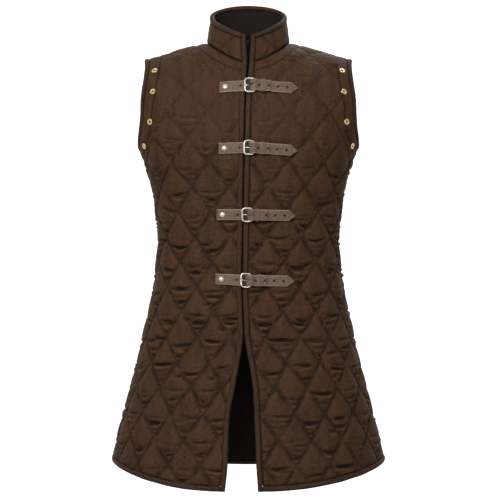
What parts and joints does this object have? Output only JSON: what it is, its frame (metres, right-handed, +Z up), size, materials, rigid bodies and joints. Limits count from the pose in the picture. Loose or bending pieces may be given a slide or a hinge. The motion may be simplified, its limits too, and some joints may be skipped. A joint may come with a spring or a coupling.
{
  "type": "sleeveless gambeson",
  "caption": "Worn, hollow sleeveless quilted gambeson with a standing collar, laced armholes, buckled front straps and an open front skirt slit.",
  "frame": {"origin": "midway between the two side neck points of the shoulder seams, where the wearer's shoulders carry the garment", "axes": "+Z up, the front faces -Y, +X towards the wearer's left"},
  "size_m": [0.5032, 0.3235, 0.8811],
  "materials": {
    "quilted_cotton": "diamond-quilted brushed cotton, soft sheen",
    "binding_cotton": "rolled cotton binding",
    "lining_cotton": "plain woven cotton",
    "leather": "waxed, worn at the edges",
    "brass": "pale, lightly polished",
    "nickel": "nickel plate, softly polished"
  },
  "bodies": {
    "root": {"front_left": "quilted_cotton", "front_left_lining": "lining_cotton", "front_right": "quilted_cotton", "front_right_lining": "lining_cotton", "back": "quilted_cotton", "back_lining": "lining_cotton", "collar": "quilted_cotton", "collar_lining": "lining_cotton", "front_edge_binding_left": "binding_cotton", "hem_binding_left": "binding_cotton", "armhole_binding_left": "binding_cotton", "eyelet_left_1": "brass", "eyelet_left_2": "brass", "eyelet_left_3": "brass", "eyelet_left_4": "brass", "eyelet_left_5": "brass", "eyelet_left_6": "brass", "eyelet_left_7": "brass", "front_edge_binding_right": "binding_cotton", "hem_binding_right": "binding_cotton", "armhole_binding_right": "binding_cotton", "eyelet_right_1": "brass", "eyelet_right_2": "brass", "eyelet_right_3": "brass", "eyelet_right_4": "brass", "eyelet_right_5": "brass", "eyelet_right_6": "brass", "eyelet_right_7": "brass", "hem_binding_back": "binding_cotton", "collar_binding": "binding_cotton", "billet_1": "leather", "chape_1": "leather", "keeper_1": "leather", "buckle_1": "nickel", "prong_1": "nickel", "rivet_1": "brass", "billet_2": "leather", "chape_2": "leather", "keeper_2": "leather", "buckle_2": "nickel", "prong_2": "nickel", "rivet_2": "brass", "billet_3": "leather", "chape_3": "leather", "keeper_3": "leather", "buckle_3": "nickel", "prong_3": "nickel", "rivet_3": "brass", "billet_4": "leather", "chape_4": "leather", "keeper_4": "leather", "buckle_4": "nickel", "prong_4": "nickel", "rivet_4": "brass"}
  },
  "joints": []
}
